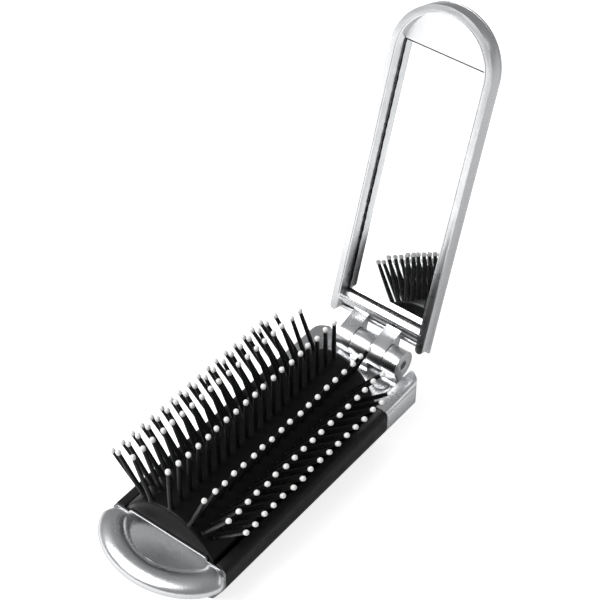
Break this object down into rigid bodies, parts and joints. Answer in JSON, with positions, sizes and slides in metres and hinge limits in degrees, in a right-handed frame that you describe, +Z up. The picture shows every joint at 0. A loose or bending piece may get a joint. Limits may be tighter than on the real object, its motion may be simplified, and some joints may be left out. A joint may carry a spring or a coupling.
{
  "type": "folding hairbrush with mirror",
  "caption": "Pocket hairbrush in a slim case with soft grips, a finger loop, a domed bristle pad and a hinged lid that holds a mirror.",
  "frame": {"origin": "centre of the case's flat back, under the bristle pad", "axes": "+X across the brush along the hinge pin, +Y from the finger loop to the hinge, +Z up from the flat back towards the bristles"},
  "size_m": [0.0498, 0.1509, 0.1234],
  "materials": {
    "shell_plastic": "fine matt moulded plastic",
    "grip_rubber": "soft-touch, satin",
    "silver_plastic": "silver paint, satin gloss",
    "pin_steel": "turned",
    "pad_rubber": "smooth rubber",
    "bristle_plastic": "smooth moulded",
    "tip_plastic": "glossy beads",
    "mirror": "polished silvered glass",
    "bonding_sheet": "thin adhesive foam"
  },
  "bodies": {
    "case": {"back_shell": "shell_plastic", "left_grip": "grip_rubber", "right_grip": "grip_rubber", "end_loop": "silver_plastic", "hinge_cap": "silver_plastic", "cap_plugs": "silver_plastic", "hinge_pin": "pin_steel"},
    "pad": {"pad_carrier": "shell_plastic", "bristle_pad": "pad_rubber", "bristle_row_1": "bristle_plastic", "bristle_row_2": "bristle_plastic", "bristle_row_3": "bristle_plastic", "bristle_row_4": "bristle_plastic", "bristle_row_5": "bristle_plastic", "bristle_row_6": "bristle_plastic", "bristle_row_7": "bristle_plastic", "bristle_tips_1": "tip_plastic", "bristle_tips_2": "tip_plastic", "bristle_tips_3": "tip_plastic", "bristle_tips_4": "tip_plastic", "bristle_tips_5": "tip_plastic", "bristle_tips_6": "tip_plastic", "bristle_tips_7": "tip_plastic"},
    "lid": {"lid_frame": "silver_plastic", "lid_cover": "silver_plastic", "mirror_glass": "mirror", "mirror_sheet": "bonding_sheet"}
  },
  "joints": [
    {"name": "lid_hinge", "type": "hinge", "parent": "case", "child": "lid", "pos_m": [0, 0.05275, 0.016], "axis": [1, 0, 0], "range_deg": [-73, 107]},
    {"name": "pad_lift", "type": "slide", "parent": "case", "child": "pad", "axis": [0, 0, 1], "range_m": [-0.00701, 0.00478], "deforming": ["bristle_row_1", "bristle_row_2", "bristle_row_3", "bristle_row_4", "bristle_row_5", "bristle_row_6", "bristle_row_7", "bristle_tips_1", "bristle_tips_2", "bristle_tips_3", "bristle_tips_4", "bristle_tips_5", "bristle_tips_6", "bristle_tips_7"]}
  ],
  "couplings": [
    {"joint": "pad_lift", "follows": "lid_hinge", "m_per_rad": -0.0037483}
  ]
}
